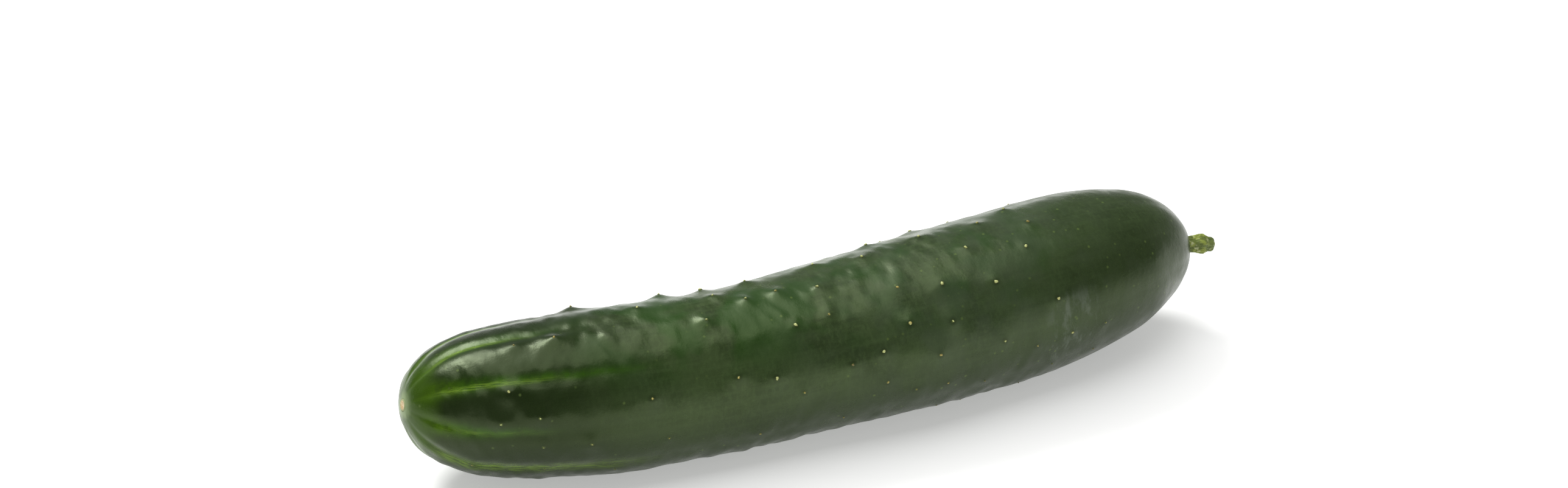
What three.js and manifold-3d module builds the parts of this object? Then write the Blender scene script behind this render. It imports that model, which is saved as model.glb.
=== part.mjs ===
// A slicing cucumber lying on its side, with the stub of its stem and the corky scar
// where its flower was. Millimetres, +Z up. The fruit lies along X, blossom end at -X and
// stem at +X, its two ends set back towards +Y. It rests on a narrow flat along its
// underside, and the origin is under the middle of the whole.

import * as THREE from "three";
import { mergeVertices } from "three/addons/utils/BufferGeometryUtils.js";
import Module from "manifold-3d";

const wasm = await Module();
wasm.setup();

// ---- Driving dimensions, millimetres and degrees -----------------------------------

const FRUIT_LENGTH = 224; // blossom tip to stem shoulder, along X
const MID_RADIUS = 21.75; // half-way along the fruit
const BLOSSOM_BLUNTNESS = 5.5; // the higher, the longer the sides run before rounding off
const STEM_BLUNTNESS = 2.25;
const TAPER = 0.208; // how much the stem half is fatter than the blossom half
const BELLY = 0.422; // how much the fruit swells away from its middle
const SHOULDER = 0.062; // how far the fattest part moves towards the stem

const BEND = 12.4; // how far the ends are set back from the middle
const BEND_LEAN = -1.8; // more of that at the blossom end
const LIFT = 2.2; // how far the ends curve up
const LIFT_LEAN = -2.8; // nearly all of that at the blossom end
const AXIS_HEIGHT = 21.4; // a little less than the radius, which leaves a flat to lie on
const AXIS_RISE = 2.4; // the stem half is fatter, so its axis lies higher

// The tips of the fruit don't lie quite on its axis: each round end is turned about its
// own centre, from where the turn starts along the half-length.
const BLOSSOM_TURN = { start: 0.8, centre: 0.847, yaw: 17.4, pitch: 8.5 };
const STEM_TURN = { start: 0.8, centre: 0.883, yaw: -13, pitch: 3 };

const STRIPE_ANGLES = [-10, 26, 60, 95, 135, 172, 209, 245, 278, 314]; // from +Y over +Z
const FURROW_WIDTH = 4.5; // degrees to either side of a stripe
const FURROW_DEPTH = 0.12; // along the middle of the fruit
const BLOSSOM_FURROW_DEPTH = 0.42; // more of it towards the blossom end
const TRIANGLE_HEIGHT = 0.3; // three seed chambers leave the section faintly triangular
const TRIANGLE_ANGLE = 140;

// Long shallow waves along and round the skin: height, turns per half-length in
// radians, waves round the fruit, and phase
const SWELLS = [
  { height: 0.28, along: 5.1, round: 2, phase: 6.5 },
  { height: 0.26, along: 9.3, round: -3, phase: 3.5 },
  { height: 0.12, along: 15.2, round: 1, phase: 1.6 },
  { height: 0.28, along: 3.1, round: 1, phase: 0.06 },
];

// A soft knob low on the flank: where it is, how high, and how long and wide it spreads
const KNOB = { q: -0.5, angle: 234, height: 1.05, length: 8, width: 9 };

// Tubercles: low mounds, each with the stub of a spine on top
const TUBERCLE_SEED = 37439;
const TUBERCLE_DRAWS = 420;
const TUBERCLE_FIRST = -0.86; // along the half-length
const TUBERCLE_LAST = 0.7;
const TUBERCLE_SPACING = 8.5;
const TUBERCLE_HEIGHT = { least: 0.3, most: 0.75 };
const TUBERCLE_WIDTH = { least: 1.7, most: 2.4 };
const TUBERCLE_BOLDNESS = 0.55; // how much higher they are towards the blossom end
const TUBERCLE_UNDERSIDE = 0.35; // how high they are underneath, against on top
const TUBERCLE_CLEARANCE = 3; // none closer than this to the surface it lies on
const SPINE_RADIUS = 0.6;
const SPINE_HEIGHT = 0.7;
const SPINE_ROOT = 1.1; // how deep it is sunk in the mound
const SPINE_SIDES = 4;

const STEM_LENGTH = 8.6; // outside the fruit
const STEM_ROOT = 2.2; // inside its socket
const STEM_BASE_RADIUS = 2.1;
const STEM_RIDGES = 5;
const STEM_RIDGE_HEIGHT = 0.11; // share of the stem's radius
const STEM_DROOP = 11; // degrees, over its length
const STEM_SWING = -6;
const STEM_SHAPE = [ // how far along the free length, and how thick against its base
  [0, 1], [0.12, 1.02], [0.3, 1.08], [0.48, 1.24], [0.6, 1.26], [0.69, 1.08],
  [0.78, 0.93], [0.9, 0.9], [0.97, 0.76], [1, 0.55],
];

const SCAR_RADIUS = 1.7;
const SCAR_THICKNESS = 0.75;
const SCAR_STANDS_PROUD = 0.2;
const GAP = 0.3; // between the fruit and the pieces set in it

const FRUIT_SIDES = 60;
const FRUIT_RINGS = 70;
const STEM_SIDES = 20;
const SCAR_SIDES = 20;

// ---- Shared arithmetic --------------------------------------------------------------

const HALF_LENGTH = FRUIT_LENGTH / 2;
const GIRTH = 2 * Math.PI * MID_RADIUS;
const FULL_TURN = 2 * Math.PI;
const Y_AXIS = new THREE.Vector3(0, 1, 0);
const Z_AXIS = new THREE.Vector3(0, 0, 1);

const radians = THREE.MathUtils.degToRad;
const mix = THREE.MathUtils.lerp;

// Rises smoothly from 0 to 1 as the value goes from one bound to the other
const ramp = THREE.MathUtils.smoothstep;

// A linear congruential generator, the same in any language
function seededDraws(seed) {
  const modulus = 4294967296;
  let state = seed;
  return () => {
    state = (state * 1664525 + 1013904223) % modulus;
    return state / modulus;
  };
}

function angleBetween(first, second) {
  const turns = Math.abs(first - second) / FULL_TURN;
  return Math.abs(turns - Math.round(turns)) * FULL_TURN;
}

// ---- The fruit's form ---------------------------------------------------------------
// A place on the skin is q, from -1 at the blossom tip to 1 at the stem, and an angle
// round the axis, from the +Y side over the top.

function plainRadius(q) {
  const bluntness = q < 0 ? BLOSSOM_BLUNTNESS : STEM_BLUNTNESS;
  const rounding = Math.sqrt(Math.max(0, 1 - Math.abs(q) ** bluntness));
  return MID_RADIUS * rounding * (1 + TAPER * q + BELLY * q ** 2 + SHOULDER * q ** 3);
}

function axisFrame(q) {
  const centre = new THREE.Vector3(
    q * HALF_LENGTH,
    BEND * q ** 2 + BEND_LEAN * q ** 3,
    AXIS_HEIGHT + AXIS_RISE * q + LIFT * q ** 2 + LIFT_LEAN * q ** 3,
  );
  const along = new THREE.Vector3(
    HALF_LENGTH,
    2 * BEND * q + 3 * BEND_LEAN * q ** 2,
    AXIS_RISE + 2 * LIFT * q + 3 * LIFT_LEAN * q ** 2,
  ).normalize();
  const side = Z_AXIS.clone().cross(along).normalize();
  const up = along.clone().cross(side);
  return { centre, along, side, up };
}

function endRotation(q) {
  const turn = q < 0 ? BLOSSOM_TURN : STEM_TURN;
  const share = ramp(Math.abs(q), turn.start, 1);
  const yaw = new THREE.Quaternion().setFromAxisAngle(Z_AXIS, radians(turn.yaw) * share);
  const pitch = new THREE.Quaternion().setFromAxisAngle(Y_AXIS, radians(turn.pitch) * share);
  return pitch.multiply(yaw);
}

function turnEnd(point, q) {
  const turn = q < 0 ? BLOSSOM_TURN : STEM_TURN;
  const pivot = axisFrame(Math.sign(q) * turn.centre).centre;
  return point.sub(pivot).applyQuaternion(endRotation(q)).add(pivot);
}

// A point at a distance from the axis, and at a distance along it from the section at q
function placeAround(q, angle, distance, along = 0) {
  const frame = axisFrame(q);
  const point = frame.centre.clone();
  point.addScaledVector(frame.side, distance * Math.cos(angle));
  point.addScaledVector(frame.up, distance * Math.sin(angle));
  point.addScaledVector(frame.along, along);
  return turnEnd(point, q);
}

function furrow(q, angle) {
  const depth = FURROW_DEPTH + BLOSSOM_FURROW_DEPTH * ramp(-q, 0.35, 0.8);
  let groove = 0;
  for (const stripe of STRIPE_ANGLES) {
    const off = angleBetween(angle, radians(stripe)) / radians(FURROW_WIDTH);
    groove += Math.exp(-off * off / 2);
  }
  return depth * groove;
}

function swelling(q, angle) {
  let height = TRIANGLE_HEIGHT * Math.cos(3 * (angle - radians(TRIANGLE_ANGLE)));
  for (const wave of SWELLS) {
    height += wave.height * Math.sin(wave.along * q + wave.round * angle + wave.phase);
  }
  const along = (q - KNOB.q) * HALF_LENGTH / KNOB.length;
  const round = angleBetween(angle, radians(KNOB.angle)) * MID_RADIUS / KNOB.width;
  height += KNOB.height * Math.exp(-(along * along + round * round) / 2);
  return height;
}

// Few near the blossom end, most in the stem half, none on the stem shoulder
function tubercleCrowding(q) {
  return mix(0.3, 1, ramp(q, -0.45, 0.3)) * (1 - ramp(q, 0.5, 0.7));
}

function placeTubercles() {
  const random = seededDraws(TUBERCLE_SEED);
  const placed = [];
  for (let draw = 0; draw < TUBERCLE_DRAWS; draw += 1) {
    const q = mix(TUBERCLE_FIRST, TUBERCLE_LAST, random());
    const turn = random();
    const chance = random();
    const size = random();
    const crowded = placed.some((other) => {
      const apart = Math.abs(other.turn - turn);
      const round = Math.min(apart, 1 - apart) * GIRTH;
      const along = (other.q - q) * HALF_LENGTH;
      return round * round + along * along < TUBERCLE_SPACING ** 2;
    });
    if (chance <= tubercleCrowding(q) && !crowded) {
      placed.push({ q, turn, size, angle: turn * FULL_TURN });
    }
  }
  return placed.filter(({ q, angle }) => placeAround(q, angle, plainRadius(q)).z > TUBERCLE_CLEARANCE);
}

const tubercles = placeTubercles();

// The tubercles stand highest towards the blossom end, and are low underneath
function tubercleTop({ q, angle, size }) {
  const boldness = 1 + TUBERCLE_BOLDNESS * ramp(-q, -0.3, 0.4);
  const upwards = mix(TUBERCLE_UNDERSIDE, 1, ramp(Math.sin(angle), -0.3, 0.6));
  return boldness * upwards * mix(TUBERCLE_HEIGHT.least, TUBERCLE_HEIGHT.most, size);
}

function tubercleHeight(q, angle) {
  let height = 0;
  for (const mound of tubercles) {
    const along = (q - mound.q) * HALF_LENGTH;
    const round = angleBetween(angle, mound.angle) * plainRadius(mound.q);
    const width = mix(TUBERCLE_WIDTH.least, TUBERCLE_WIDTH.most, mound.size);
    const falloff = Math.exp(-(along * along + round * round) / (2 * width * width));
    height += tubercleTop(mound) * falloff;
  }
  return height;
}

// The relief dies away towards both tips, where the sections are small and round
function skinRadius(q, angle) {
  const plain = plainRadius(q);
  const settled = ramp(plain, 3, 12);
  return plain + settled * (swelling(q, angle) - furrow(q, angle) + tubercleHeight(q, angle));
}

// ---- Lofting ------------------------------------------------------------------------

// Closed body through rings of points, from the first tip to the last
function loft(firstTip, rings, lastTip) {
  const sides = rings[0].length;
  const points = [firstTip, ...rings.flat(), lastTip];
  const indices = [];
  const last = points.length - 1;
  const at = (ring, side) => 1 + ring * sides + (side % sides);
  for (let side = 0; side < sides; side += 1) {
    indices.push(0, at(0, side + 1), at(0, side));
    indices.push(last, at(rings.length - 1, side), at(rings.length - 1, side + 1));
    for (let ring = 0; ring + 1 < rings.length; ring += 1) {
      indices.push(at(ring, side), at(ring, side + 1), at(ring + 1, side));
      indices.push(at(ring, side + 1), at(ring + 1, side + 1), at(ring + 1, side));
    }
  }
  const geometry = new THREE.BufferGeometry().setFromPoints(points);
  geometry.setIndex(indices);
  return geometry;
}

function ringOf(sides, pointAt) {
  return Array.from({ length: sides }, (_, side) => pointAt(FULL_TURN * side / sides));
}

// The q near an end at which the plain fruit has a given radius
function stationWithRadius(radius, end) {
  let inner = 0.8;
  let outer = 1;
  for (let step = 0; step < 40; step += 1) {
    const middle = (inner + outer) / 2;
    if (plainRadius(end * middle) > radius) {
      inner = middle;
    } else {
      outer = middle;
    }
  }
  return end * inner;
}

// Stations an even distance apart along the fruit's profile
function evenStations(first, last, count) {
  const samples = 4000;
  const walked = [{ q: first, distance: 0 }];
  for (let step = 1; step <= samples; step += 1) {
    const before = walked[step - 1];
    const q = mix(first, last, (1 - Math.cos(Math.PI * step / samples)) / 2);
    const rise = plainRadius(q) - plainRadius(before.q);
    const run = (q - before.q) * HALF_LENGTH;
    walked.push({ q, distance: before.distance + Math.hypot(run, rise) });
  }
  const total = walked[samples].distance;
  return Array.from({ length: count }, (_, index) => {
    const wanted = total * index / (count - 1);
    return walked.find((sample) => sample.distance >= wanted - 1e-9).q;
  });
}

// ---- Solids by manifold-3d ----------------------------------------------------------

function toSolid(geometry) {
  const vertProperties = new Float32Array(geometry.getAttribute("position").array);
  const triVerts = new Uint32Array(geometry.getIndex().array);
  return new wasm.Manifold(new wasm.Mesh({ numProp: 3, vertProperties, triVerts }));
}

function toGeometry(solid) {
  const mesh = solid.getMesh();
  const geometry = new THREE.BufferGeometry();
  geometry.setAttribute("position", new THREE.BufferAttribute(mesh.vertProperties, 3));
  geometry.setIndex(new THREE.BufferAttribute(mesh.triVerts, 1));
  return geometry;
}

// ---- Fruit --------------------------------------------------------------------------

const scarStation = stationWithRadius(SCAR_RADIUS + GAP, -1);
const stemStation = stationWithRadius(STEM_BASE_RADIUS + GAP, 1);
const scarSeatDepth = SCAR_THICKNESS - SCAR_STANDS_PROUD + GAP;
const socketDepth = STEM_ROOT + GAP;

function makeFruitBody() {
  const stations = evenStations(scarStation, stemStation, FRUIT_RINGS);
  const rings = stations.map((q) => ringOf(FRUIT_SIDES, (angle) => {
    const point = placeAround(q, angle, skinRadius(q, angle));
    point.z = Math.max(point.z, 0); // the flat that the fruit lies on
    return point;
  }));
  const seatWall = ringOf(FRUIT_SIDES, (angle) => (
    placeAround(scarStation, angle, SCAR_RADIUS + GAP, scarSeatDepth)
  ));
  const socketWall = ringOf(FRUIT_SIDES, (angle) => (
    placeAround(stemStation, angle, STEM_BASE_RADIUS + GAP, -socketDepth)
  ));
  const seatFloor = placeAround(scarStation, 0, 0, scarSeatDepth);
  const socketFloor = placeAround(stemStation, 0, 0, -socketDepth);
  return loft(seatFloor, [seatWall, ...rings, socketWall], socketFloor);
}

function makeSpine(mound) {
  const radius = skinRadius(mound.q, mound.angle);
  const root = placeAround(mound.q, mound.angle, radius - SPINE_ROOT);
  const tip = placeAround(mound.q, mound.angle, radius + SPINE_HEIGHT);
  const outward = tip.clone().sub(root).normalize();
  const cone = new THREE.ConeGeometry(SPINE_RADIUS, SPINE_ROOT + SPINE_HEIGHT, SPINE_SIDES);
  cone.deleteAttribute("normal");
  cone.deleteAttribute("uv");
  const spine = mergeVertices(cone);
  spine.applyQuaternion(new THREE.Quaternion().setFromUnitVectors(Y_AXIS, outward));
  return spine.translate(...root.add(tip).multiplyScalar(0.5).toArray());
}

function makeFruit() {
  const solids = [toSolid(makeFruitBody())];
  for (const mound of tubercles) {
    solids.push(toSolid(makeSpine(mound)));
  }
  return toGeometry(wasm.Manifold.union(solids));
}

// ---- Stem ---------------------------------------------------------------------------
// It leaves its socket along the turned end of the fruit, then droops and swings.

function makeStem() {
  const base = placeAround(stemStation, 0, 0);
  const straight = placeAround(stemStation, 0, 0, 1).sub(base).normalize();
  const centreLine = [{ travelled: -STEM_ROOT, thickness: 1 }];
  for (const [share, thickness] of STEM_SHAPE) {
    centreLine.push({ travelled: share * STEM_LENGTH, thickness });
  }

  const centre = base.clone().addScaledVector(straight, -STEM_ROOT);
  const rings = [];
  let before = -STEM_ROOT;
  for (const { travelled, thickness } of centreLine) {
    const bent = Math.max(travelled, 0) / STEM_LENGTH;
    const heading = straight.clone();
    heading.applyAxisAngle(Z_AXIS, radians(STEM_SWING) * bent);
    heading.applyAxisAngle(Y_AXIS, radians(STEM_DROOP) * bent);
    centre.addScaledVector(heading, travelled - before);
    before = travelled;

    const side = Z_AXIS.clone().cross(heading).normalize();
    const up = heading.clone().cross(side);
    const ridge = STEM_RIDGE_HEIGHT * ramp(travelled, 0, 1);
    rings.push(ringOf(STEM_SIDES, (angle) => {
      const radius = STEM_BASE_RADIUS * thickness * (1 + ridge * Math.cos(STEM_RIDGES * angle));
      const point = centre.clone().addScaledVector(side, radius * Math.cos(angle));
      return point.addScaledVector(up, radius * Math.sin(angle));
    }));
  }
  const root = base.clone().addScaledVector(straight, -STEM_ROOT);
  return loft(root, rings, centre);
}

// ---- Blossom scar -------------------------------------------------------------------
// A dry corky pad in its seat: share of its radius, and height above its underside

const SCAR_SHAPE = [[0.45, 0.66], [0.86, 0.75], [1, 0.5], [1, 0.15], [0.92, 0]];
const SCAR_DIMPLE = 0.55;

function makeScar() {
  const inside = (height) => SCAR_THICKNESS - SCAR_STANDS_PROUD - height;
  const place = (angle, distance, height) => (
    placeAround(scarStation, angle, distance, inside(height))
  );
  const rings = SCAR_SHAPE.map(([share, height]) => (
    ringOf(SCAR_SIDES, (angle) => place(angle, share * SCAR_RADIUS, height))
  ));
  return loft(place(0, 0, SCAR_DIMPLE), rings, place(0, 0, 0));
}

// ---- Assembly -----------------------------------------------------------------------

function named(name, geometry, color, roughness) {
  geometry.computeVertexNormals();
  const material = new THREE.MeshStandardMaterial({ color, roughness, metalness: 0 });
  const mesh = new THREE.Mesh(geometry, material);
  mesh.name = name;
  return mesh;
}

const cucumber = new THREE.Group();
cucumber.add(named("fruit", makeFruit(), 0x2c4a1e, 0.35));
cucumber.add(named("stem", makeStem(), 0x7f8b48, 0.6));
cucumber.add(named("blossom_scar", makeScar(), 0xd2bd93, 0.85));

const box = new THREE.Box3().setFromObject(cucumber);
const middle = box.getCenter(new THREE.Vector3());
cucumber.position.set(-middle.x, -middle.y, -box.min.z);

export default cucumber;
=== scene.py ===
"""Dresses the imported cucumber: a fine skin with its tubercles, stripes and mottling, a
fine stem, a corky blossom scar and the stubs of the spines, in soft studio light."""
import math

import bpy
import numpy as np
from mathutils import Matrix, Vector


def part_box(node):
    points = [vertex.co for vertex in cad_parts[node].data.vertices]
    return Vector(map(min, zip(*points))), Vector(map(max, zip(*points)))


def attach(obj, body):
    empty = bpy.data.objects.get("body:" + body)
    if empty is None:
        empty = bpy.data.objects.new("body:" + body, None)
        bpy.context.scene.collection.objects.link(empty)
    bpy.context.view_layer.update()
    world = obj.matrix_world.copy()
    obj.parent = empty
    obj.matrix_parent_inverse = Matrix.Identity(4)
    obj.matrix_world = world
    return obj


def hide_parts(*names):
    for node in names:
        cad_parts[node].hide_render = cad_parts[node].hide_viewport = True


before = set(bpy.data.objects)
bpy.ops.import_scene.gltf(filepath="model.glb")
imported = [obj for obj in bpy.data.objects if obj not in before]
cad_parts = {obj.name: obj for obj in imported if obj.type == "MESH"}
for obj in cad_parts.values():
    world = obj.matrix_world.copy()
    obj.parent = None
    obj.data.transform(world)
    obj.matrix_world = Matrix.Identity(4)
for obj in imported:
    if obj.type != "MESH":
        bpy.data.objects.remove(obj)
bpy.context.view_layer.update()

MM = 0.001
FULL_TURN = 2 * math.pi
Y_AXIS = np.array([0.0, 1.0, 0.0])
Z_AXIS = np.array([0.0, 0.0, 1.0])

# ---- The cucumber's form, as in the part's source, in millimetres and degrees -------
# A place on the skin is q, from -1 at the blossom tip to 1 at the stem, and an angle
# round the axis, from the +Y side over the top. A pair of numbers is a least and a most,
# or where something that changes along or round the fruit starts and ends.

FRUIT_LENGTH = 224  # blossom tip to stem shoulder
HALF_LENGTH = FRUIT_LENGTH / 2
MID_RADIUS = 21.75  # half-way along the fruit
GIRTH = FULL_TURN * MID_RADIUS
BLOSSOM_BLUNTNESS = 5.5  # the higher, the longer the sides run before rounding off
STEM_BLUNTNESS = 2.25
TAPER = 0.208  # how much the stem half is fatter than the blossom half
BELLY = 0.422  # how much the fruit swells away from its middle
SHOULDER = 0.062  # how far the fattest part moves towards the stem

BEND = 12.4  # how far the ends are set back from the middle
BEND_LEAN = -1.8  # more of that at the blossom end
LIFT = 2.2  # how far the ends curve up
LIFT_LEAN = -2.8  # nearly all of that at the blossom end
AXIS_HEIGHT = 21.4
AXIS_RISE = 2.4  # the stem half is fatter, so its axis lies higher
# Each round end is turned about its own centre, from where the turn starts.
BLOSSOM_TURN = {"end": -1, "start": 0.8, "centre": 0.847, "yaw": 17.4, "pitch": 8.5}
STEM_TURN = {"end": 1, "start": 0.8, "centre": 0.883, "yaw": -13, "pitch": 3}

STRIPE_ANGLES = [-10, 26, 60, 95, 135, 172, 209, 245, 278, 314]
FURROW_WIDTH = 4.5  # degrees to either side of a stripe
FURROW_DEPTH = 0.12  # along the middle of the fruit
BLOSSOM_FURROW_DEPTH = 0.42  # more of it towards the blossom end
FURROW_DEEPENS = (0.35, 0.8)
TRIANGLE_HEIGHT = 0.3  # three seed chambers leave the section faintly triangular
TRIANGLE_ANGLE = 140
SWELLS = [  # height, radians along the half-length, waves round the fruit, and phase
    (0.28, 5.1, 2, 6.5),
    (0.26, 9.3, -3, 3.5),
    (0.12, 15.2, 1, 1.6),
    (0.28, 3.1, 1, 0.06),
]
KNOB = {"q": -0.5, "angle": 234, "height": 1.05, "length": 8, "width": 9}
RELIEF_SETTLES = (3, 12)  # the radii between which the relief dies away to the tips

TUBERCLE_SEED = 37439
TUBERCLE_DRAWS = 420
TUBERCLE_FIRST = -0.86
TUBERCLE_LAST = 0.7
TUBERCLE_SPACING = 8.5
TUBERCLE_HEIGHT = (0.3, 0.75)
TUBERCLE_WIDTH = (1.7, 2.4)
TUBERCLE_BOLDNESS = 0.55  # how much higher they are towards the blossom end
TUBERCLE_GROWS = (-0.3, 0.4)
TUBERCLE_UNDERSIDE = 0.35  # how high they are underneath, against on top
TUBERCLE_CLEARANCE = 3  # none closer than this to the surface it lies on
UPPER_SIDE = (-0.3, 0.6)  # as the sine of the angle
CROWDING = (0.3, 1)  # near the blossom end, and in the stem half
CROWDING_GROWS = (-0.45, 0.3)
CROWDING_ENDS = (0.5, 0.7)

STEM_LENGTH = 8.6  # outside the fruit
STEM_ROOT = 2.2  # inside its socket
STEM_BASE_RADIUS = 2.1
STEM_RIDGES = 5
STEM_RIDGE_HEIGHT = 0.11  # share of the stem's radius
STEM_DROOP = 11
STEM_SWING = -6
STEM_SHAPE = [  # how far along the free length, and how thick against its base
    (0, 1), (0.12, 1.02), (0.3, 1.08), (0.48, 1.24), (0.6, 1.26), (0.69, 1.08),
    (0.78, 0.93), (0.9, 0.9), (0.97, 0.76), (1, 0.55),
]

SCAR_RADIUS = 1.7
SCAR_THICKNESS = 0.75
SCAR_STANDS_PROUD = 0.2
SCAR_SHAPE = [(0.45, 0.66), (0.86, 0.75), (1, 0.5), (1, 0.15), (0.92, 0)]  # out, and high
SCAR_DIMPLE = 0.55
SCAR_SIDES = 20
GAP = 0.3  # between the fruit and the pieces set in it


def ramp(value, start, end):
    """Rises smoothly from 0 to 1 as the value goes from start to end."""
    t = np.clip((value - start) / (end - start), 0, 1)
    return t * t * (3 - 2 * t)


def mix(first, last, share):
    return (1 - share) * first + share * last


def angles_round(sides):
    return np.arange(sides) * FULL_TURN / sides


def angle_between(first, second):
    turns = np.abs(first - second) / FULL_TURN
    return np.abs(turns - np.round(turns)) * FULL_TURN


def unit(vectors):
    return vectors / np.linalg.norm(vectors, axis=-1, keepdims=True)


def plain_radius(q):
    bluntness = np.where(q < 0, BLOSSOM_BLUNTNESS, STEM_BLUNTNESS)
    rounding = np.sqrt(np.maximum(0, 1 - np.abs(q) ** bluntness))
    return MID_RADIUS * rounding * (1 + TAPER * q + BELLY * q**2 + SHOULDER * q**3)


def axis_frame(q):
    """Centre, along, side and up of the sections at q."""
    q = np.asarray(q, float)
    height = AXIS_HEIGHT + AXIS_RISE * q + LIFT * q**2 + LIFT_LEAN * q**3
    centre = np.stack([q * HALF_LENGTH, BEND * q**2 + BEND_LEAN * q**3, height], -1)
    slope = 2 * BEND * q + 3 * BEND_LEAN * q**2
    rise = AXIS_RISE + 2 * LIFT * q + 3 * LIFT_LEAN * q**2
    along = unit(np.stack([np.full_like(q, HALF_LENGTH), slope, rise], -1))
    side = unit(np.cross(Z_AXIS, along))
    return centre, along, side, np.cross(along, side)


def turned(points, q, turn):
    """The points with the round end they are on turned about its own centre."""
    share = ramp(turn["end"] * q, turn["start"], 1)
    pivot = axis_frame(turn["end"] * turn["centre"])[0]
    x, y, z = np.moveaxis(points - pivot, -1, 0)
    yaw = np.radians(turn["yaw"]) * share
    pitch = np.radians(turn["pitch"]) * share
    x, y = x * np.cos(yaw) - y * np.sin(yaw), x * np.sin(yaw) + y * np.cos(yaw)
    x, z = x * np.cos(pitch) + z * np.sin(pitch), z * np.cos(pitch) - x * np.sin(pitch)
    return np.stack([x, y, z], -1) + pivot


def place_around(q, angle, distance, along=0.0):
    """Points at a distance from the axis, and at a distance along it from q's section."""
    q, angle, distance, along = np.broadcast_arrays(
        np.asarray(q, float), angle, distance, along
    )
    centre, ahead, side, up = axis_frame(q)
    points = centre + along[..., None] * ahead
    points = points + (distance * np.cos(angle))[..., None] * side
    points = points + (distance * np.sin(angle))[..., None] * up
    return turned(turned(points, q, BLOSSOM_TURN), q, STEM_TURN)


def furrow(q, angle):
    depth = FURROW_DEPTH + BLOSSOM_FURROW_DEPTH * ramp(-q, *FURROW_DEEPENS)
    groove = 0
    for stripe in STRIPE_ANGLES:
        off = angle_between(angle, math.radians(stripe)) / math.radians(FURROW_WIDTH)
        groove = groove + np.exp(-off * off / 2)
    return depth * groove


def swelling(q, angle):
    """The faintly triangular section, the long shallow swells and the knob on the flank."""
    height = TRIANGLE_HEIGHT * np.cos(3 * (angle - math.radians(TRIANGLE_ANGLE)))
    for wave_height, along, round_, phase in SWELLS:
        height = height + wave_height * np.sin(along * q + round_ * angle + phase)
    along = (q - KNOB["q"]) * HALF_LENGTH / KNOB["length"]
    round_ = angle_between(angle, math.radians(KNOB["angle"])) * MID_RADIUS / KNOB["width"]
    return height + KNOB["height"] * np.exp(-(along**2 + round_**2) / 2)


def seeded_draws(seed):
    """A linear congruential generator, the same one as in the part's source."""
    multiplier, increment, modulus = 1664525, 1013904223, 4294967296
    state = seed
    while True:
        state = (state * multiplier + increment) % modulus
        yield state / modulus


def tubercle_crowding(q):
    return mix(*CROWDING, ramp(q, *CROWDING_GROWS)) * (1 - ramp(q, *CROWDING_ENDS))


def place_tubercles():
    """Each tubercle's station, angle and size, 0 to 1, by the part's own rule."""
    draws = seeded_draws(TUBERCLE_SEED)
    placed = []
    for _ in range(TUBERCLE_DRAWS):
        q = mix(TUBERCLE_FIRST, TUBERCLE_LAST, next(draws))
        turn, chance, size = next(draws), next(draws), next(draws)
        crowded = False
        for other_q, other_turn, _size in placed:
            apart = abs(other_turn - turn)
            around = min(apart, 1 - apart) * GIRTH
            along = (other_q - q) * HALF_LENGTH
            crowded |= around * around + along * along < TUBERCLE_SPACING**2
        if chance <= tubercle_crowding(q) and not crowded:
            placed.append((q, turn, size))
    mounds = np.array(placed)
    mounds[:, 1] *= FULL_TURN
    seat = place_around(mounds[:, 0], mounds[:, 1], plain_radius(mounds[:, 0]))
    return mounds[seat[:, 2] > TUBERCLE_CLEARANCE]


tubercles = place_tubercles()


def away_from(tubercle, q, angle):
    """How far places are from a tubercle, along the fruit and round it."""
    mound_q, mound_angle, _size = tubercle
    along = (q - mound_q) * HALF_LENGTH
    around = angle_between(angle, mound_angle) * plain_radius(mound_q)
    return along, around


def boldness(q, angle):
    """The tubercles stand highest towards the blossom end, and are low underneath."""
    upwards = mix(TUBERCLE_UNDERSIDE, 1, ramp(math.sin(angle), *UPPER_SIDE))
    return (1 + TUBERCLE_BOLDNESS * ramp(-q, *TUBERCLE_GROWS)) * upwards


def tubercle_relief(q, angle, heights, widths):
    """Round mounds at the tubercles, from the least and most of their height and width."""
    height = 0
    for tubercle in tubercles:
        mound_q, mound_angle, size = tubercle
        along, around = away_from(tubercle, q, angle)
        width = mix(*widths, size)
        falloff = np.exp(-(along * along + around * around) / (2 * width * width))
        height = height + boldness(mound_q, mound_angle) * mix(*heights, size) * falloff
    return height


# ---- Fine relief, which only the scene has -------------------------------------------

PEAK_HEIGHT = (0.08, 0.18)  # the tubercles' small steep tops, each under its spine
PEAK_WIDTH = (0.9, 1.05)

CRINKLE_SEED = 907
CRINKLE_WAVES = 90
CRINKLE_HEIGHT = 0.2
CRINKLE_ALONG = (0.35, 1.9)  # radians a millimetre
CRINKLE_ROUND = (0, 24)  # waves round the fruit
CRINKLE_ROUND_BIAS = 1.5  # the higher, the more of them run straight round
CRINKLE_LONG = 0.8  # waves with fewer radians a millimetre than this are the strongest
CRINKLE_FALLOFF = 1.5  # and how fast the shorter ones weaken
CRINKLE_UNEVEN = 0.4  # how much its strength varies from place to place, by these waves
CRINKLE_PATCHES = [(6.1, 2, 1), (3.7, -1, 0)]  # along, round and phase, as in SWELLS
CRINKLE_AT_STEM = 0.25  # its strength there, against the rest
CRINKLE_WEAKENS = (0.3, 0.65)


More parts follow.
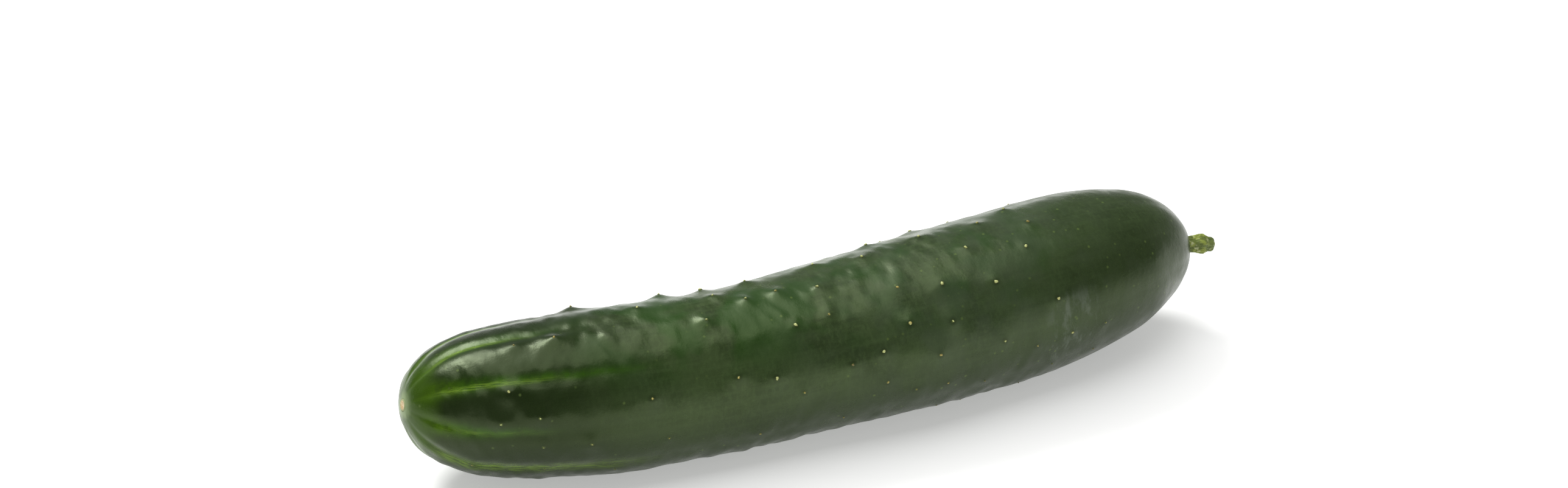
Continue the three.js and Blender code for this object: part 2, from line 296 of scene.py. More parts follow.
def crinkle(q, angle):
    """Fine waves, shorter along the fruit than round it, and weaker towards the stem."""
    draws = seeded_draws(CRINKLE_SEED)
    height = 0
    for _ in range(CRINKLE_WAVES):
        along = mix(*CRINKLE_ALONG, next(draws))
        round_ = round(mix(*CRINKLE_ROUND, next(draws) ** CRINKLE_ROUND_BIAS))
        round_ *= 1 if next(draws) < 0.5 else -1
        wave = np.sin(along * HALF_LENGTH * q + round_ * angle + FULL_TURN * next(draws))
        height = height + wave / (1 + (along / CRINKLE_LONG) ** CRINKLE_FALLOFF)
    patches = 1
    for along, round_, phase in CRINKLE_PATCHES:
        patches = patches * np.sin(along * q + round_ * angle + phase)
    strength = 1 - CRINKLE_UNEVEN + CRINKLE_UNEVEN * patches
    strength = strength * mix(1, CRINKLE_AT_STEM, ramp(q, *CRINKLE_WEAKENS))
    return height * CRINKLE_HEIGHT / math.sqrt(CRINKLE_WAVES / 2) * strength


def skin_radius(q, angle):
    relief = swelling(q, angle) - furrow(q, angle) + crinkle(q, angle)
    relief = relief + tubercle_relief(q, angle, TUBERCLE_HEIGHT, TUBERCLE_WIDTH)
    relief = relief + tubercle_relief(q, angle, PEAK_HEIGHT, PEAK_WIDTH)
    return plain_radius(q) + ramp(plain_radius(q), *RELIEF_SETTLES) * relief


# ---- The form's own axes, and the frame's --------------------------------------------

ROUND_END = 0.8  # both ends only narrow from here on
HALVINGS = 40


def station_with_radius(radius, end):
    """Where in the round end, -1 or 1, the fruit has a radius, by halving the interval."""
    inner, outer = ROUND_END, 1.0
    for _ in range(HALVINGS):
        middle = (inner + outer) / 2
        if plain_radius(end * middle) > radius:
            inner = middle
        else:
            outer = middle
    return end * inner


SCAR_STATION = station_with_radius(SCAR_RADIUS + GAP, -1)
STEM_STATION = station_with_radius(STEM_BASE_RADIUS + GAP, 1)


def scar_ring(share, height, angles):
    inside = SCAR_THICKNESS - SCAR_STANDS_PROUD - height
    return place_around(SCAR_STATION, angles, share * SCAR_RADIUS, inside)


def frame_shift():
    """From the form's own axes to the frame's: the scar as packed, against its formula."""
    angles = angles_round(SCAR_SIDES)
    own = np.concatenate([scar_ring(share, height, angles) for share, height in SCAR_SHAPE])
    low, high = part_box("blossom_scar")
    return np.array((low + high) / 2) - (own.min(0) + own.max(0)) / 2 * MM


SHIFT = frame_shift()


def to_metres(points):
    return np.asarray(points) * MM + SHIFT


# ---- Meshes --------------------------------------------------------------------------

SKIN_SIDES = 256
SKIN_RINGS = 376
STEM_SIDES = 96
STEM_RINGS = 90
FINE_SCAR_SIDES = 72
PROFILE_SAMPLES = 8001
SEAM = 0.03  # the visible gap round the stem and the scar
SKIN_CREASE = 50  # edges where the surface turns by more degrees than this stay sharp
STEM_CREASE = 60
SCAR_CREASE = 70


def even_stations(first, last, count):
    """Stations an even distance apart along the fruit's profile."""
    share = (1 - np.cos(np.linspace(0, math.pi, PROFILE_SAMPLES))) / 2
    q = mix(first, last, share)
    steps = np.hypot(np.diff(q) * HALF_LENGTH, np.diff(plain_radius(q)))
    walked = np.concatenate([[0], np.cumsum(steps)])
    return np.interp(np.linspace(0, walked[-1], count), walked, q)


def loft_faces(rings, sides):
    """Faces of a closed loft: the first tip, the rings one after another, the last tip."""
    side = np.arange(sides)
    after = (side + 1) % sides
    start = 1 + np.arange(rings - 1)[:, None] * sides
    quads = np.stack([start + side, start + after, start + sides + after,
                      start + sides + side], -1).reshape(-1, 4)
    last_ring = 1 + (rings - 1) * sides
    last = 1 + rings * sides
    first_fan = np.stack([np.zeros(sides, int), 1 + after, 1 + side], -1)
    last_fan = np.stack([np.full(sides, last), last_ring + side, last_ring + after], -1)
    return quads.tolist() + first_fan.tolist() + last_fan.tolist()


def add_piece(name, points, faces, material, node, values, crease=None):
    """A smooth-shaded piece from points in millimetres, with float values on its points."""
    mesh = bpy.data.meshes.new(name)
    mesh.from_pydata(to_metres(points).tolist(), [], faces)
    mesh.validate()
    mesh.polygons.foreach_set("use_smooth", [True] * len(mesh.polygons))
    if crease:
        mesh.set_sharp_from_angle(angle=math.radians(crease))
    for label, numbers in values.items():
        attribute = mesh.attributes.new(label, "FLOAT", "POINT")
        attribute.data.foreach_set("value", np.asarray(numbers, np.float32))
    mesh.materials.append(material)
    piece = bpy.data.objects.new(name, mesh)
    bpy.context.scene.collection.objects.link(piece)
    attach(piece, "root")
    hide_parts(node)


# ---- Skin ----------------------------------------------------------------------------
# Yellow-green stripes run out of the blossom end in the furrows, each to its own reach:
# a pale line, and a broader green band mostly above it.

STRIPES = [  # line's end, strength and width; band's; and drift round the fruit, in mm
    ((-0.66, 0.8, 0.35), (-0.6, 0.8, 0.9), 0),
    ((-0.7, 0.7, 0.35), (-0.65, 0.7, 0.8), 0.5),
    ((-0.62, 0.9, 0.35), (-0.55, 0.8, 0.9), -0.4),
    ((-0.66, 1, 0.45), (-0.58, 0.7, 1), 0.3),
    ((-0.59, 0.75, 0.45), (-0.38, 0.8, 0.8), 0.2),
    ((-0.64, 0.4, 0.38), (-0.62, 1, 0.8), 1),
    ((-0.4, 0.6, 1.3), (-0.6, 0.2, 1), 1.3),
    ((-0.6, 0.7, 0.5), (-0.55, 0.7, 1), 0.6),
    ((-0.7, 0.8, 0.35), (-0.65, 0.8, 0.9), -0.5),
    ((-0.64, 0.7, 0.4), (-0.6, 0.7, 0.8), 0.3),
]
FADE = 0.25  # how far before its end a line or a band begins to fade
LINE_STARTS = (-0.97, -0.9)
LINE_AT_TIP = 0.2  # its strength before it starts, against after
LINE_WANDER = 0.3
WANDER_WAVES = [(17, 1.7), (31, 1)]  # radians along the half-length, and phase by stripe
DRIFT_DIES = (-0.95, -0.75)
BAND_STARTS = (-0.99, -0.95)
BAND_OFFSET = 0.9  # how far a band lies above its line, where that has full strength
BAND_SPREAD = 1.8  # how much wider the band is at the tip
BAND_SPREADS = (0.7, 0.95)
LEAST_RADIUS = 2.0  # the stripes close in no further where the fruit is thinner

FAR_FROM_SPINE = 20  # nothing depends on the distance to the nearest spine beyond this


def strength_along(q, most, end):
    """How strong a line or a band is, fading towards its end."""
    return most * (1 - ramp(q, end - FADE, end))


def bell(off, width):
    return np.exp(-((off / width) ** 2) / 2)


def stripes(q, angle):
    """How much of the pale lines, and of the green bands beside them, shows at each point."""
    lines = np.zeros_like(q)
    bands = np.zeros_like(q)
    radius = np.maximum(plain_radius(q), LEAST_RADIUS)
    spread = mix(1, BAND_SPREAD, ramp(-q, *BAND_SPREADS))
    for number, (line, band, drift) in enumerate(STRIPES):
        line_end, line_strength, line_width = line
        band_end, band_strength, band_width = band
        middle = math.radians(STRIPE_ANGLES[number])
        wander = LINE_WANDER
        for along, phase in WANDER_WAVES:
            wander = wander * np.sin(along * q + phase * number)
        wander = wander - drift * (1 - ramp(q, *DRIFT_DIES))
        turns = (angle - middle) / FULL_TURN
        off = (turns - np.round(turns)) * FULL_TURN * radius + wander
        shown = strength_along(q, line_strength, line_end)
        shown = shown * mix(LINE_AT_TIP, 1, ramp(q, *LINE_STARTS))
        lines = np.maximum(lines, shown * bell(off, line_width))
        shown = strength_along(q, band_strength, band_end) * ramp(q, *BAND_STARTS)
        above = off * np.sign(math.cos(middle)) - BAND_OFFSET * line_strength
        bands = np.maximum(bands, shown * bell(above, band_width * spread))
    return lines, bands


def spine_distance(q, angle):
    """Millimetres to the nearest spine, along the skin."""
    nearest = np.full_like(q, FAR_FROM_SPINE)
    for tubercle in tubercles:
        nearest = np.minimum(nearest, np.hypot(*away_from(tubercle, q, angle)))
    return nearest


def make_skin(material):
    first = station_with_radius(SCAR_RADIUS + SEAM, -1)
    last = station_with_radius(STEM_BASE_RADIUS + SEAM, 1)
    seat_depth = SCAR_THICKNESS - SCAR_STANDS_PROUD + GAP
    socket_depth = STEM_ROOT + GAP
    around = angles_round(SKIN_SIDES)
    q, angle = np.meshgrid(even_stations(first, last, SKIN_RINGS), around, indexing="ij")
    skin = place_around(q, angle, skin_radius(q, angle))
    skin[..., 2] = np.maximum(skin[..., 2], 0)  # the narrow flat that it lies on
    seat_wall = place_around(first, around, SCAR_RADIUS + SEAM, seat_depth)
    socket_wall = place_around(last, around, STEM_BASE_RADIUS + SEAM, -socket_depth)
    points = np.concatenate([
        place_around(first, 0, 0, seat_depth)[None], seat_wall, skin.reshape(-1, 3),
        socket_wall, place_around(last, 0, 0, -socket_depth)[None],
    ])

    def with_ends(numbers, at_first, at_last):
        """The skin's numbers, and one for each end's tip and wall."""
        ends = np.ones(SKIN_SIDES + 1)
        return np.concatenate([ends * at_first, numbers.ravel(), ends * at_last])

    lines, bands = stripes(q, angle)
    values = {
        "station": with_ends(q, -1, 1),
        "cosine": with_ends(np.cos(angle), 0, 0),
        "sine": with_ends(np.sin(angle), 0, 0),
        "line": with_ends(lines, 0, 0),
        "band": with_ends(bands, 0, 0),
        "from_spine": with_ends(spine_distance(q, angle), FAR_FROM_SPINE, FAR_FROM_SPINE),
    }
    faces = loft_faces(SKIN_RINGS + 2, SKIN_SIDES)
    add_piece("skin", points, faces, material, "fruit", values, SKIN_CREASE)


# ---- Spines --------------------------------------------------------------------------
# The dry stub of a spine on each tubercle

STUB_RADIUS = (0.19, 0.37)
STUB_HEIGHT = (0.26, 0.5)
STUB_SHAPE = [  # out and high, as shares of its radius and height
    (1.25, 0), (1, 0.3), (0.8, 0.62), (0.52, 0.86), (0.25, 0.98),
]
STUB_SIDES = 12
STUB_ROOT = 0.5  # inside the skin
STUB_LEAN = 0.5  # how far the tip may lean, as a share of the height
STUB_OVAL = 0.35  # how much wider it is one way than the other
STUB_RAGGED = 0.5
STUB_WORN = 0.6  # the size of those underneath, against those on top
STUB_TOP_SIDE = (-0.4, 0.5)  # as the sine of the angle
STUB_YOUNG = 0.7  # the size of those near the blossom end, against the rest
STUB_GROWN = (-0.75, -0.35)
OFF_AXIS = np.array([0.0, 0.3, 1.0])  # to find two directions across a spine


def make_spines(material):
    draws = seeded_draws(TUBERCLE_SEED + 1)
    points, faces, heights, tints = [], [], [], []
    turn = angles_round(STUB_SIDES)[:, None]
    shares_up = [0] + [height for _share, height in STUB_SHAPE]
    for q, angle, _size in tubercles:
        foot = place_around(q, angle, skin_radius(q, angle))
        out = unit(foot - place_around(q, angle, 0))
        ahead = unit(np.cross(out, OFF_AXIS))
        beside = np.cross(out, ahead)
        upper = ramp(math.sin(angle), *STUB_TOP_SIDE)
        whole = mix(STUB_WORN, 1, upper) * mix(STUB_YOUNG, 1, ramp(q, *STUB_GROWN))
        wide = whole * mix(*STUB_RADIUS, next(draws))
        tall = whole * mix(*STUB_HEIGHT, next(draws))
        heading = FULL_TURN * next(draws)
        lean = STUB_LEAN * (math.cos(heading) * ahead + math.sin(heading) * beside)
        ragged = np.array([next(draws) - 0.5 for _ in range(STUB_SIDES)])[:, None]
        oval = 1 + STUB_OVAL * np.cos(turn - heading) ** 2 + STUB_RAGGED * ragged
        rim = wide * oval * (np.cos(turn) * ahead + np.sin(turn) * beside)
        root = foot - STUB_ROOT * out
        rings = [root + rim]
        for share, height in STUB_SHAPE:
            rings.append(foot + height * tall * (out + height * lean) + share * rim)
        start = len(points)
        points += [root, *np.concatenate(rings), foot + tall * (out + lean)]
        heights += [0, *np.repeat(shares_up, STUB_SIDES), 1]
        tints += [mix(1, next(draws), upper)] * (len(points) - start)
        faces += [[start + corner for corner in face]
                  for face in loft_faces(len(rings), STUB_SIDES)]
    values = {"height": heights, "tint": tints}
    add_piece("spines", points, faces, material, "fruit", values)


# ---- Stem ----------------------------------------------------------------------------

STEM_RIDGES_RISE = (0, 1)  # over its first millimetre


def turned_about(vector, axis, angle):
    """The vector turned about an axis of length 1."""
    c, s = math.cos(angle), math.sin(angle)
    return vector * c + np.cross(axis, vector) * s + np.multiply(axis, axis @ vector) * (1 - c)


def make_stem(material):
    base = place_around(STEM_STATION, 0, 0)
    straight = unit(place_around(STEM_STATION, 0, 0, 1) - base)
    root = base - STEM_ROOT * straight
    shares, thicknesses = np.transpose(STEM_SHAPE)
    travelled = np.concatenate([[-STEM_ROOT], np.linspace(0, STEM_LENGTH, STEM_RINGS)])
    thickness = np.interp(travelled / STEM_LENGTH, shares, thicknesses)
    angle = angles_round(STEM_SIDES)

    centre, before = root, -STEM_ROOT
    rings = []
    for run, thick in zip(travelled, thickness):
        bent = max(run, 0) / STEM_LENGTH
        heading = turned_about(straight, Z_AXIS, math.radians(STEM_SWING) * bent)
        heading = turned_about(heading, Y_AXIS, math.radians(STEM_DROOP) * bent)
        centre = centre + heading * (run - before)
        before = run
        side = unit(np.cross(Z_AXIS, heading))
        up = np.cross(heading, side)
        ridge = STEM_RIDGE_HEIGHT * ramp(run, *STEM_RIDGES_RISE)
        radius = STEM_BASE_RADIUS * thick * (1 + ridge * np.cos(STEM_RIDGES * angle))
        rings.append(centre + (radius * np.cos(angle))[:, None] * side
                     + (radius * np.sin(angle))[:, None] * up)
    points = np.concatenate([root[None], *rings, centre[None]])
    share = np.repeat(travelled / STEM_LENGTH, STEM_SIDES)
    values = {
        "share": np.concatenate([[0], share, [1]]),
        "cosine": np.concatenate([[0], np.tile(np.cos(angle), len(rings)), [0]]),
        "sine": np.concatenate([[0], np.tile(np.sin(angle), len(rings)), [0]]),
    }
    faces = loft_faces(len(rings), STEM_SIDES)
    add_piece("cut_stem", points, faces, material, "stem", values, STEM_CREASE)


# ---- Blossom scar --------------------------------------------------------------------


def make_scar(material):
    angle = angles_round(FINE_SCAR_SIDES)
    rings = [scar_ring(share, height, angle) for share, height in SCAR_SHAPE]
    top = scar_ring(0, SCAR_DIMPLE, 0)
    under = scar_ring(0, 0, 0)
    points = np.concatenate([top[None], *rings, under[None]])
    faces = loft_faces(len(rings), FINE_SCAR_SIDES)
    out = np.repeat([share for share, _height in SCAR_SHAPE], FINE_SCAR_SIDES)
    values = {"out": [0, *out, 1]}
    add_piece("corky_scar", points, faces, material, "blossom_scar", values, SCAR_CREASE)


# ---- Materials -----------------------------------------------------------------------


def linear(red, green, blue):
    """A colour given in sRGB, 0 to 255, as the renderer wants it."""
    channels = [c / 255 for c in (red, green, blue)]
    return tuple(
        c / 12.92 if c <= 0.04045 else ((c + 0.055) / 1.055) ** 2.4 for c in channels
    ) + (1.0,)


class Nodes:
    """A material's node tree: a colour, and short ways to paint over it and finish it."""

    def __init__(self, name, colour):
        self.material = bpy.data.materials.new(name)
        self.material.use_nodes = True
        self.tree = self.material.node_tree
        self.colour = colour

    def feed(self, socket, value):
        if isinstance(value, bpy.types.NodeSocket):
            self.tree.links.new(value, socket)
        else:
            socket.default_value = value

    def add(self, kind, inputs, **settings):
        """A new node, with numbers, colours or other nodes' outputs as its inputs."""
        node = self.tree.nodes.new(kind)
        for name, setting in settings.items():
            setattr(node, name, setting)
        for name, value in inputs.items():
            self.feed(node.inputs[name], value)
        return node

    def place(self):
        return self.add("ShaderNodeTexCoord", {}).outputs["Object"]

    def value(self, name):
        """The values that the mesh holds under a name."""
        return self.add("ShaderNodeAttribute", {}, attribute_name=name).outputs["Fac"]

    def joined(self, operation, first, *rest):
        """Numbers and other nodes' outputs, added up or multiplied one after another."""
        for value in rest:
            node = self.add("ShaderNodeMath", {0: first, 1: value}, operation=operation)
            first = node.outputs[0]
        return first

    def product(self, *values):
        return self.joined("MULTIPLY", *values)

    def total(self, *values):
        return self.joined("ADD", *values)

    def span(self, value, start, end, least=0.0, most=1.0):
        """Rises smoothly from least to most as the value goes from start to end."""
        inputs = dict(enumerate((value, start, end, least, most)))
        node = self.add("ShaderNodeMapRange", inputs, interpolation_type="SMOOTHSTEP")
        return node.outputs["Result"]

    def drawn_out(self, station, along, around):
        """Where to take noise for streaks: it moves on at one rate along, another round."""
        x = self.product(station, along)
        y = self.product(self.value("cosine"), around)
        z = self.product(self.value("sine"), around)
        return self.add("ShaderNodeCombineXYZ", {"X": x, "Y": y, "Z": z}).outputs["Vector"]

    def noise(self, place, scale, detail=2.0, roughness=0.5):
        """Noise from 0 to 1; at a place in metres, the scale is its grains a metre."""
        inputs = {"Vector": place, "Scale": scale, "Detail": detail, "Roughness": roughness}
        return self.add("ShaderNodeTexNoise", inputs).outputs["Fac"]

    def patches(self, place, scale, edge, detail=2.0, roughness=0.5, least=0.0, most=1.0):
        """Noise sharpened into patches: the edge is from which level to which it rises."""
        return self.span(self.noise(place, scale, detail, roughness), *edge, least, most)

    def cells(self, place, scale):
        """How far it is to the nearest cell's centre, and a chance number for each cell."""
        node = self.add("ShaderNodeTexVoronoi", {"Vector": place, "Scale": scale})
        chance = self.add("ShaderNodeRGBToBW", {"Color": node.outputs["Color"]})
        return node.outputs["Distance"], chance.outputs[0]

    def blend(self, share, first, second):
        node = self.add("ShaderNodeMix", {"Factor": share}, data_type="RGBA")
        colours = [socket for socket in node.inputs if socket.type == "RGBA"]
        self.feed(colours[0], first)
        self.feed(colours[1], second)
        return [socket for socket in node.outputs if socket.type == "RGBA"][0]

    def paint(self, colour, share):
        """Lays a colour over those laid so far, as much of it as the share says."""
        self.colour = self.blend(share, self.colour, colour)

    def bump(self, height, distance):
        node = self.add("ShaderNodeBump", {"Height": height, "Distance": distance})
        return node.outputs["Normal"]

    def finish(self, **sockets):
        """The material, with its colour and these values in the shader's sockets."""
        shader = self.tree.nodes["Principled BSDF"]
        for name, value in {"Base_Color": self.colour, **sockets}.items():
            self.feed(shader.inputs[name.replace("_", " ")], value)
        return self.material


SKIN_GREEN = linear(55, 71, 38)
SKIN_DEEP = linear(37, 52, 23)
SKIN_SOFT = linear(69, 88, 50)
SKIN_FRESH = linear(30, 64, 10)
SKIN_GREY = linear(66, 77, 60)
STEM_END_SHADE = linear(34, 48, 19)
UNDERSIDE_SHADE = linear(30, 42, 18)
BLOSSOM_DEEP = linear(19, 33, 5)
BAND_GREEN = linear(46, 84, 2)
LINE_GREEN = linear(118, 150, 48)
TIP_GREEN = linear(66, 100, 0)
HALO_AND_SHEEN_GREEN = linear(150, 170, 118)
SPINE_SHADE_RING = linear(24, 34, 14)
FOOT_GREEN = linear(120, 138, 66)
SPECKLE_GREEN = linear(88, 106, 54)
SCUFF_GREY = linear(104, 112, 102)

# Where a colour begins and where it is strongest: along the fruit, from -1 to 1
FRESH_ALONG = (0.75, 0.3)
GREY_STARTS = (-0.3, 0.3)
GREY_ENDS = (0.9, 0.5)
STEM_END_SHADE_ALONG = (0.3, 0.8)
BLOSSOM_DEEPENS = (-0.35, -0.75)
BANDS_BRIGHTEN = (-0.85, -0.95)
TIP_ALONG = (-0.93, -0.98)
HALO_AND_SHEEN_ALONG = (-0.991, -1)
TIP_UNEVEN = 0.006  # how unevenly the tip and its halo end
PORES_THICKEN = (-0.6, 0.9)
SCUFF_STARTS = (0.46, 0.54)
SCUFF_ENDS = (0.66, 0.58)
# Round it, as the sine of the angle, which is 1 on top, or the cosine
FRESH_ROUND = (0.35, 0.95)
STEM_END_SHADE_ROUND = (0.95, 0.5)
UNDERSIDE_SHADE_ROUND = (0.3, -0.4)
SCUFF_ROUND = (-0.86, -0.96)
# And from the middle of a spine, in millimetres
SPINE_SHADE_RADII = (1.5, 0.6)
FOOT_RADII = (0.6, 0.3)

PORE_CELLS = 420  # places for a pore in a metre
PORE_RADII = (0.22, 0.06)  # against the size of a cell
PORES_CHOSEN = (0.6, 0.76)
PORES_MORE = (-0.1, 0.08)  # added to each one's chance, blossom end and stem end

SKIN_IOR = 1.41
SKIN_GLOSS = (0.82, 1.0, 0.56, 1.0)  # its highlights are faintly green
SKIN_ROUGHNESS = (0.25, 0.38)
SKIN_BUMPS = 0.08 * MM
BRUSHED_RELIEF = 0.3
GRAIN_RELIEF = 0.45
# The ripples die away to both ends.
STEM_SETTLES = (0.97, 0.8)
BLOSSOM_SETTLES = (-0.98, -0.85)


class SkinNodes(Nodes):
    """The skin's nodes: its layers of colour, from the bottom up, and its finish."""

    def __init__(self):
        super().__init__("cucumber skin", SKIN_GREEN)
        self.here = self.place()
        self.q = self.value("station")
        self.cosine = self.value("cosine")
        self.sine = self.value("sine")
        self.lengthwise = self.drawn_out(self.q, along=4, around=9)
        self.crosswise = self.drawn_out(self.q, along=28, around=2.2)
        self.brushed = self.noise(self.crosswise, scale=4, detail=3, roughness=0.6)
        self.grain = self.noise(self.here, scale=1000, detail=3, roughness=0.55)

    def paint_greens(self):
        """Mottled mid-green, with soft streaks both ways and a fine grain."""
        clouds = self.patches(
            self.here, scale=55, edge=(0.36, 0.66), detail=3, roughness=0.55
        )
        streaks = self.patches(
            self.lengthwise, scale=1.6, edge=(0.4, 0.68), detail=4, roughness=0.6, most=0.3
        )
        self.paint(SKIN_DEEP, clouds)
        self.paint(SKIN_SOFT, streaks)
        self.paint(SKIN_SOFT, self.span(self.brushed, 0.45, 0.7, most=0.35))
        self.paint(SKIN_SOFT, self.span(self.grain, 0.45, 0.7, most=0.25))

    def paint_regions(self):
        """Fresher patches on top, greyer ones in the stem half, painted shade at the stem end
        and underneath, and a deeper blossom end.
        """
        patches = self.patches(self.here, scale=70, edge=(0.42, 0.58), detail=3)
        on_top = self.span(self.sine, *FRESH_ROUND)
        before_stem = self.span(self.q, *FRESH_ALONG, most=0.85)
        self.paint(SKIN_FRESH, self.product(patches, on_top, before_stem))

        patches = self.patches(
            self.here, scale=75, edge=(0.38, 0.62), detail=3, roughness=0.6, least=0.35
        )
        stem_half = self.span(self.q, *GREY_STARTS, least=0.1, most=0.5)
        before_stem = self.span(self.q, *GREY_ENDS)
        self.paint(SKIN_GREY, self.product(patches, stem_half, before_stem))

        # Painted shade: the stem end is darkened, least on top, for the light falling off
        # there.
        near_stem = self.span(self.q, *STEM_END_SHADE_ALONG, most=0.7)
        less_on_top = self.span(self.sine, *STEM_END_SHADE_ROUND, least=0.4)
        self.paint(STEM_END_SHADE, self.product(near_stem, less_on_top))
        # Painted shade: the underside of the fruit is darkened.
        self.paint(UNDERSIDE_SHADE, self.span(self.sine, *UNDERSIDE_SHADE_ROUND, most=0.7))
        self.paint(BLOSSOM_DEEP, self.span(self.q, *BLOSSOM_DEEPENS, most=0.88))

    def paint_stripes(self):
        """The stripes' frayed green bands and broken pale lines."""
        frayed = self.patches(
            self.here, scale=330, edge=(0.3, 0.6), detail=3, roughness=0.6, least=0.5
        )
        broken = self.patches(
            self.lengthwise, scale=7, edge=(0.4, 0.6), detail=3, roughness=0.6, least=0.15
        )
        at_tip = self.span(self.q, *BANDS_BRIGHTEN)
        band_colour = self.blend(at_tip, BAND_GREEN, TIP_GREEN)
        self.paint(band_colour, self.product(self.value("band"), frayed))
        self.paint(LINE_GREEN, self.product(self.value("line"), broken))

    def paint_tip(self):
        """The bright blossom tip, and the pale halo round its scar: partly the skin's own
        paler ring, partly painted sheen at the tip's edge.
        """
        uneven = self.product(self.noise(self.here, scale=260), TIP_UNEVEN)
        q = self.total(self.q, uneven)
        self.paint(TIP_GREEN, self.span(q, *TIP_ALONG, most=0.45))
        # The halo is partly painted sheen, the pale rim where the tip's edge turns away.
        self.paint(HALO_AND_SHEEN_GREEN, self.span(q, *HALO_AND_SHEEN_ALONG, most=0.9))

    def paint_spine_feet(self):
        """A ring of painted shade and a pale foot round each spine."""
        from_spine = self.value("from_spine")
        # Painted shade: a dark ring round the foot of each spine.
        self.paint(SPINE_SHADE_RING, self.span(from_spine, *SPINE_SHADE_RADII, most=0.4))
        self.paint(FOOT_GREEN, self.span(from_spine, *FOOT_RADII, most=0.35))

    def paint_pores(self):
        """A few pale pores, most of them towards the stem."""
        distance, chance = self.cells(self.here, PORE_CELLS)
        chance = self.total(chance, self.span(self.q, *PORES_THICKEN, *PORES_MORE))
        chosen = self.span(chance, *PORES_CHOSEN, most=0.7)
        inside = self.span(distance, *PORE_RADII)
        self.paint(SPECKLE_GREEN, self.product(inside, chosen))

    def paint_scuff(self):
        """A dry scuff on the flank near the stem."""
        scratches = self.patches(
            self.crosswise, scale=1.6, edge=(0.44, 0.64), detail=4, roughness=0.65, most=0.45
        )
        along = self.product(self.span(self.q, *SCUFF_STARTS), self.span(self.q, *SCUFF_ENDS))
        on_flank = self.span(self.cosine, *SCUFF_ROUND)
        self.paint(SCUFF_GREY, self.product(along, on_flank, scratches))

    def waxy_roughness(self):
        least, most = SKIN_ROUGHNESS
        return self.patches(
            self.here, scale=150, edge=(0.35, 0.68), detail=4, roughness=0.6, least=least,
            most=most,
        )

    def relief(self):
        """Ripples across the fruit, finer brushed ones, and a grain."""
        near_stem = self.span(self.q, *STEM_SETTLES)
        near_blossom = self.span(self.q, *BLOSSOM_SETTLES)
        ripples = self.noise(self.crosswise, scale=1)
        ripples = self.product(ripples, near_stem, near_blossom)
        brushed = self.product(self.brushed, BRUSHED_RELIEF)
        grain = self.product(self.grain, GRAIN_RELIEF)
        return self.total(ripples, brushed, grain)


def skin_material():
    skin = SkinNodes()
    skin.paint_greens()
    skin.paint_regions()
    skin.paint_stripes()
    skin.paint_tip()
    skin.paint_spine_feet()
    skin.paint_pores()
    skin.paint_scuff()
    return skin.finish(
        Roughness=skin.waxy_roughness(), IOR=SKIN_IOR, Specular_Tint=SKIN_GLOSS,
        Normal=skin.bump(skin.relief(), SKIN_BUMPS),
    )


SPINE_CREAM = linear(196, 202, 130)
SPINE_TAN = linear(176, 158, 84)
SPINE_BROWN = linear(104, 88, 56)
SPINE_FOOT = linear(96, 104, 48)
SPINE_UNEVEN = 0.5  # how much the tint varies within a spine
TAN_TINTS = (0.6, 0.9)
BROWN_TINTS = (0.9, 1.05)
FOOT_HEIGHTS = (0.55, 0.1)  # as shares of the spine's height
SPINE_ROUGHNESS = 0.5


def spine_material():
    """Cream to brown as each spine's tint says, and greener at the foot."""
    n = Nodes("dry spine", SPINE_CREAM)
    uneven = n.product(n.noise(n.place(), scale=1800), SPINE_UNEVEN)
    tint = n.total(n.value("tint"), uneven, -SPINE_UNEVEN / 2)
    n.paint(SPINE_TAN, n.span(tint, *TAN_TINTS))
    n.paint(SPINE_BROWN, n.span(tint, *BROWN_TINTS))
    n.paint(SPINE_FOOT, n.span(n.value("height"), *FOOT_HEIGHTS))
    return n.finish(Roughness=SPINE_ROUGHNESS)


STEM_GREEN = linear(148, 162, 66)
STEM_DARK = linear(84, 102, 34)
STEM_KNOB = linear(84, 104, 50)
STEM_PALE = linear(200, 206, 150)
KNOB_ALONG = (0.66, 0.8)  # as shares of the free length
STEM_ROUGHNESS = 0.5
STEM_BUMPS = 0.25 * MM
FIBRE_RELIEF = 0.6


def stem_material():
    """Patchy green with pale flecks, darker at the knob, and fibrous."""
    n = Nodes("cut stem", STEM_GREEN)
    place, share = n.place(), n.value("share")
    n.paint(STEM_DARK, n.patches(place, scale=420, edge=(0.45, 0.58), most=0.75))
    n.paint(STEM_KNOB, n.span(share, *KNOB_ALONG, most=0.6))
    n.paint(STEM_PALE, n.patches(place, scale=700, edge=(0.6, 0.68), detail=1, most=0.8))
    lengthwise = n.drawn_out(share, along=2, around=3)
    fibres = n.patches(
        lengthwise, scale=2.4, edge=(0.4, 0.62), detail=4, roughness=0.6, most=FIBRE_RELIEF
    )
    relief = n.total(fibres, n.noise(place, scale=1400, detail=3))
    return n.finish(Roughness=STEM_ROUGHNESS, Normal=n.bump(relief, STEM_BUMPS))


CORK_PALE = linear(224, 206, 168)
CORK_BROWN = linear(200, 168, 118)
CORK_EDGE = linear(156, 168, 120)
EDGE_RADII = (0.5, 0.95)  # as shares of the scar's radius
CORK_ROUGHNESS = 0.85
CORK_BUMPS = 0.3 * MM


def cork_material():
    """Grainy pale brown, greener at the edge."""
    n = Nodes("cork", CORK_PALE)
    grain = n.noise(n.place(), scale=1500, detail=4, roughness=0.65)
    n.paint(CORK_BROWN, n.span(grain, 0.4, 0.62))
    n.paint(CORK_EDGE, n.span(n.value("out"), *EDGE_RADII))
    return n.finish(Roughness=CORK_ROUGHNESS, Normal=n.bump(grain, CORK_BUMPS))


make_skin(skin_material())
make_spines(spine_material())
make_stem(stem_material())
make_scar(cork_material())

# ---- Stage ---------------------------------------------------------------------------
# A white floor that glows faintly, so that it stays white, and soft light from above

WHITE = (1.0, 1.0, 1.0, 1.0)
FLOOR_WHITE = linear(246, 246, 245)
FLOOR_SIZE = 6.0
FLOOR_ROUGHNESS = 0.9
FLOOR_GLOW = 0.39
WORLD_STRENGTH = 0.25

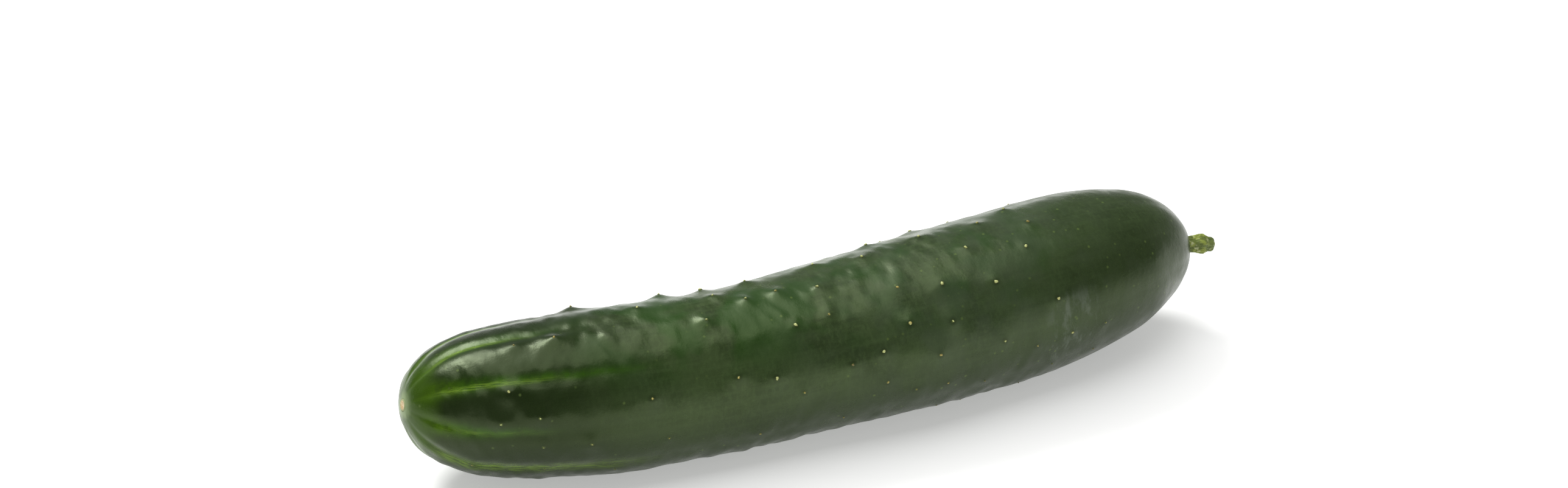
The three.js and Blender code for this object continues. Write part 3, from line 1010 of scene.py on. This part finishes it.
CAMERA_LENS = 79.66
CAMERA_SENSOR = 36
CAMERA_CLIP = (0.05, 50)
CAMERA_PLACE = (-297.52, -701.78, 529.92)  # in the form's own axes
CAMERA_TARGET = (23.36, 83.21, 0)


def floor_material():
    n = Nodes("white sweep", FLOOR_WHITE)
    return n.finish(
        Roughness=FLOOR_ROUGHNESS, Emission_Color=WHITE, Emission_Strength=FLOOR_GLOW,
    )


def add_floor():
    bpy.ops.mesh.primitive_plane_add(size=FLOOR_SIZE, location=(0, 0, 0))
    floor = bpy.context.object
    floor.name = "floor"
    floor.data.materials.append(floor_material())


def add_world():
    world = bpy.data.worlds.new("studio")
    world.use_nodes = True
    background = world.node_tree.nodes["Background"]
    background.inputs["Color"].default_value = WHITE
    background.inputs["Strength"].default_value = WORLD_STRENGTH
    bpy.context.scene.world = world
    bpy.context.scene.view_settings.view_transform = "Standard"


def add_aimed(name, data, place, target):
    """A lamp or a camera at a place, aimed at a target."""
    thing = bpy.data.objects.new(name, data)
    thing.location = place
    direction = Vector(target) - thing.location
    thing.rotation_euler = direction.to_track_quat("-Z", "Y").to_euler()
    bpy.context.scene.collection.objects.link(thing)
    return thing


def add_softbox(name, place, target, size, watts):
    lamp = bpy.data.lights.new(name, "AREA")
    lamp.shape = "RECTANGLE"
    lamp.size, lamp.size_y = size
    lamp.energy = watts
    add_aimed(name, lamp, place, target)


def add_camera():
    lens = bpy.data.cameras.new("camera")
    lens.lens = CAMERA_LENS
    lens.sensor_width = CAMERA_SENSOR
    lens.clip_start, lens.clip_end = CAMERA_CLIP
    place, target = to_metres(CAMERA_PLACE), to_metres(CAMERA_TARGET)
    bpy.context.scene.camera = add_aimed("camera", lens, place, target)


add_floor()
add_world()
add_softbox(
    "key softbox", place=(-0.28, 0.7, 0.95), target=(0, 0, 0), size=(0.54, 0.4), watts=10.0
)
add_softbox(
    "overhead softbox", place=(-0.15, 0.2, 1.3), target=(-0.15, 0.2, 0), size=(1.2, 1.4),
    watts=11.3,
)
add_camera()
